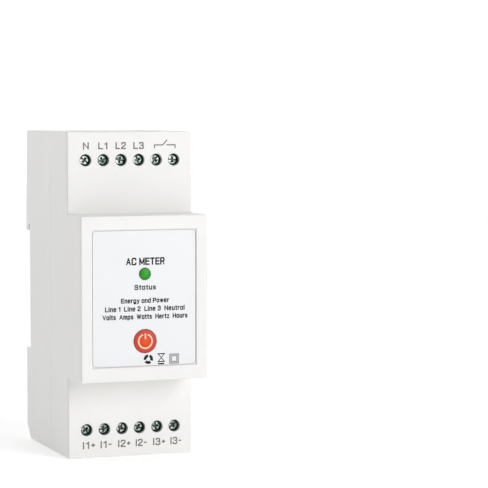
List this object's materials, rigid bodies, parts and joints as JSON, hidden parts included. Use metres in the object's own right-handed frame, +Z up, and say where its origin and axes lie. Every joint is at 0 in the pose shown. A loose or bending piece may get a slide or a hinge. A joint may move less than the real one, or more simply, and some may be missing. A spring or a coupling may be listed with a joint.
{
  "type": "rail-mounted electric power meter",
  "caption": "Narrow stepped white power meter for a 35 mm rail: screw terminals at both ends, indicator, push button, wireless board and spring-loaded rail clip.",
  "frame": {"origin": "middle of the flat seat that touches the front of the rail, on the rail's centre line", "axes": "+Y back into the rail (the printed front faces -Y), +Z up along the height, +X to the right across the width"},
  "size_m": [0.036, 0.0565, 0.09],
  "materials": {
    "housing_plastic": "fine moulded grain, warm white",
    "label_film": "smooth printed film, cool white",
    "lens_green": "polished green light pipe",
    "button_orange": "satin moulded cap",
    "terminal_green": "dark green moulded",
    "screw_steel": "zinc plated",
    "cage_steel": "zinc plated, pressed",
    "contact_tin": "tinned",
    "board_laminate": "solder mask over glass laminate",
    "header_black": "moulded strip with plated pins",
    "switch_black": "moulded",
    "led_clear": "clear epoxy",
    "relay_plastic": "sealed relay case",
    "ferrite": "sintered",
    "winding_tape": "polyester tape over copper wire",
    "capacitor_sleeve": "shrunk sleeve",
    "film_box": "moulded film capacitor box",
    "varistor_epoxy": "dipped epoxy",
    "fuse_ceramic": "ceramic tube",
    "chip_black": "moulded epoxy",
    "inductor_black": "shrunk sleeve over ferrite",
    "radio_board": "blue solder mask",
    "shield_metal": "tinned can",
    "resistor_black": "thick film chip",
    "clip_plastic": "moulded, warm white",
    "spring_steel": "bright wire"
  },
  "bodies": {
    "housing": {"base_housing": "housing_plastic", "front_cover": "housing_plastic", "label_plate": "label_film", "indicator_lens": "lens_green", "terminal_block_upper": "terminal_green", "terminal_block_lower": "terminal_green", "terminal_contacts_upper": "contact_tin", "terminal_contacts_lower": "contact_tin", "main_board": "board_laminate", "power_board": "board_laminate", "front_board": "board_laminate", "board_link_header": "header_black", "front_link_header": "header_black", "tact_switch": "switch_black", "status_led": "led_clear", "relay_body": "relay_plastic", "transformer_core": "ferrite", "transformer_winding": "winding_tape", "bulk_capacitors": "capacitor_sleeve", "safety_capacitor": "film_box", "varistors": "varistor_epoxy", "input_fuse": "fuse_ceramic", "bridge_rectifier": "chip_black", "filter_inductor": "inductor_black", "metering_chip": "chip_black", "crystal": "shield_metal", "wireless_module": "radio_board", "wireless_shield": "shield_metal", "optocouplers": "chip_black", "divider_resistors": "resistor_black", "burden_resistors": "resistor_black", "rail_clip_spring": "spring_steel"},
    "screw_1": {"terminal_screw_1": "screw_steel"},
    "cage_1": {"terminal_cage_1": "cage_steel"},
    "screw_2": {"terminal_screw_2": "screw_steel"},
    "cage_2": {"terminal_cage_2": "cage_steel"},
    "screw_3": {"terminal_screw_3": "screw_steel"},
    "cage_3": {"terminal_cage_3": "cage_steel"},
    "screw_4": {"terminal_screw_4": "screw_steel"},
    "cage_4": {"terminal_cage_4": "cage_steel"},
    "screw_5": {"terminal_screw_5": "screw_steel"},
    "cage_5": {"terminal_cage_5": "cage_steel"},
    "screw_6": {"terminal_screw_6": "screw_steel"},
    "cage_6": {"terminal_cage_6": "cage_steel"},
    "screw_7": {"terminal_screw_7": "screw_steel"},
    "cage_7": {"terminal_cage_7": "cage_steel"},
    "screw_8": {"terminal_screw_8": "screw_steel"},
    "cage_8": {"terminal_cage_8": "cage_steel"},
    "screw_9": {"terminal_screw_9": "screw_steel"},
    "cage_9": {"terminal_cage_9": "cage_steel"},
    "screw_10": {"terminal_screw_10": "screw_steel"},
    "cage_10": {"terminal_cage_10": "cage_steel"},
    "screw_11": {"terminal_screw_11": "screw_steel"},
    "cage_11": {"terminal_cage_11": "cage_steel"},
    "screw_12": {"terminal_screw_12": "screw_steel"},
    "cage_12": {"terminal_cage_12": "cage_steel"},
    "button": {"power_button": "button_orange", "tact_plunger": "switch_black"},
    "clip": {"rail_clip": "clip_plastic"}
  },
  "joints": [
    {"name": "cage_rise_1", "type": "slide", "parent": "housing", "child": "cage_1", "axis": [0, -1, 0], "range_m": [0, 0.003]},
    {"name": "screw_turn_1", "type": "hinge", "parent": "housing", "child": "screw_1", "pos_m": [-0.0127, -0.038, 0.03715], "axis": [0, 1, 0], "range_deg": [0, 2160]},
    {"name": "cage_rise_2", "type": "slide", "parent": "housing", "child": "cage_2", "axis": [0, -1, 0], "range_m": [0, 0.003]},
    {"name": "screw_turn_2", "type": "hinge", "parent": "housing", "child": "screw_2", "pos_m": [-0.00762, -0.038, 0.03715], "axis": [0, 1, 0], "range_deg": [0, 2160]},
    {"name": "cage_rise_3", "type": "slide", "parent": "housing", "child": "cage_3", "axis": [0, -1, 0], "range_m": [0, 0.003]},
    {"name": "screw_turn_3", "type": "hinge", "parent": "housing", "child": "screw_3", "pos_m": [-0.00254, -0.038, 0.03715], "axis": [0, 1, 0], "range_deg": [0, 2160]},
    {"name": "cage_rise_4", "type": "slide", "parent": "housing", "child": "cage_4", "axis": [0, -1, 0], "range_m": [0, 0.003]},
    {"name": "screw_turn_4", "type": "hinge", "parent": "housing", "child": "screw_4", "pos_m": [0.00254, -0.038, 0.03715], "axis": [0, 1, 0], "range_deg": [0, 2160]},
    {"name": "cage_rise_5", "type": "slide", "parent": "housing", "child": "cage_5", "axis": [0, -1, 0], "range_m": [0, 0.003]},
    {"name": "screw_turn_5", "type": "hinge", "parent": "housing", "child": "screw_5", "pos_m": [0.00762, -0.038, 0.03715], "axis": [0, 1, 0], "range_deg": [0, 2160]},
    {"name": "cage_rise_6", "type": "slide", "parent": "housing", "child": "cage_6", "axis": [0, -1, 0], "range_m": [0, 0.003]},
    {"name": "screw_turn_6", "type": "hinge", "parent": "housing", "child": "screw_6", "pos_m": [0.0127, -0.038, 0.03715], "axis": [0, 1, 0], "range_deg": [0, 2160]},
    {"name": "cage_rise_7", "type": "slide", "parent": "housing", "child": "cage_7", "axis": [0, -1, 0], "range_m": [0, 0.003]},
    {"name": "screw_turn_7", "type": "hinge", "parent": "housing", "child": "screw_7", "pos_m": [-0.0127, -0.038, -0.03715], "axis": [0, 1, 0], "range_deg": [0, 2160]},
    {"name": "cage_rise_8", "type": "slide", "parent": "housing", "child": "cage_8", "axis": [0, -1, 0], "range_m": [0, 0.003]},
    {"name": "screw_turn_8", "type": "hinge", "parent": "housing", "child": "screw_8", "pos_m": [-0.00762, -0.038, -0.03715], "axis": [0, 1, 0], "range_deg": [0, 2160]},
    {"name": "cage_rise_9", "type": "slide", "parent": "housing", "child": "cage_9", "axis": [0, -1, 0], "range_m": [0, 0.003]},
    {"name": "screw_turn_9", "type": "hinge", "parent": "housing", "child": "screw_9", "pos_m": [-0.00254, -0.038, -0.03715], "axis": [0, 1, 0], "range_deg": [0, 2160]},
    {"name": "cage_rise_10", "type": "slide", "parent": "housing", "child": "cage_10", "axis": [0, -1, 0], "range_m": [0, 0.003]},
    {"name": "screw_turn_10", "type": "hinge", "parent": "housing", "child": "screw_10", "pos_m": [0.00254, -0.038, -0.03715], "axis": [0, 1, 0], "range_deg": [0, 2160]},
    {"name": "cage_rise_11", "type": "slide", "parent": "housing", "child": "cage_11", "axis": [0, -1, 0], "range_m": [0, 0.003]},
    {"name": "screw_turn_11", "type": "hinge", "parent": "housing", "child": "screw_11", "pos_m": [0.00762, -0.038, -0.03715], "axis": [0, 1, 0], "range_deg": [0, 2160]},
    {"name": "cage_rise_12", "type": "slide", "parent": "housing", "child": "cage_12", "axis": [0, -1, 0], "range_m": [0, 0.003]},
    {"name": "screw_turn_12", "type": "hinge", "parent": "housing", "child": "screw_12", "pos_m": [0.0127, -0.038, -0.03715], "axis": [0, 1, 0], "range_deg": [0, 2160]},
    {"name": "button_press", "type": "slide", "parent": "housing", "child": "button", "axis": [0, 1, 0], "range_m": [0, 0.0005], "stiffness_N_per_m": 3000},
    {"name": "clip_pull", "type": "slide", "parent": "housing", "child": "clip", "axis": [0, 0, -1], "range_m": [0, 0.004], "stiffness_N_per_m": 2500, "deforming": ["rail_clip_spring"]}
  ],
  "couplings": [
    {"joint": "screw_turn_1", "follows": "cage_rise_1", "rad_per_m": 12566},
    {"joint": "screw_turn_2", "follows": "cage_rise_2", "rad_per_m": 12566},
    {"joint": "screw_turn_3", "follows": "cage_rise_3", "rad_per_m": 12566},
    {"joint": "screw_turn_4", "follows": "cage_rise_4", "rad_per_m": 12566},
    {"joint": "screw_turn_5", "follows": "cage_rise_5", "rad_per_m": 12566},
    {"joint": "screw_turn_6", "follows": "cage_rise_6", "rad_per_m": 12566},
    {"joint": "screw_turn_7", "follows": "cage_rise_7", "rad_per_m": 12566},
    {"joint": "screw_turn_8", "follows": "cage_rise_8", "rad_per_m": 12566},
    {"joint": "screw_turn_9", "follows": "cage_rise_9", "rad_per_m": 12566},
    {"joint": "screw_turn_10", "follows": "cage_rise_10", "rad_per_m": 12566},
    {"joint": "screw_turn_11", "follows": "cage_rise_11", "rad_per_m": 12566},
    {"joint": "screw_turn_12", "follows": "cage_rise_12", "rad_per_m": 12566}
  ]
}
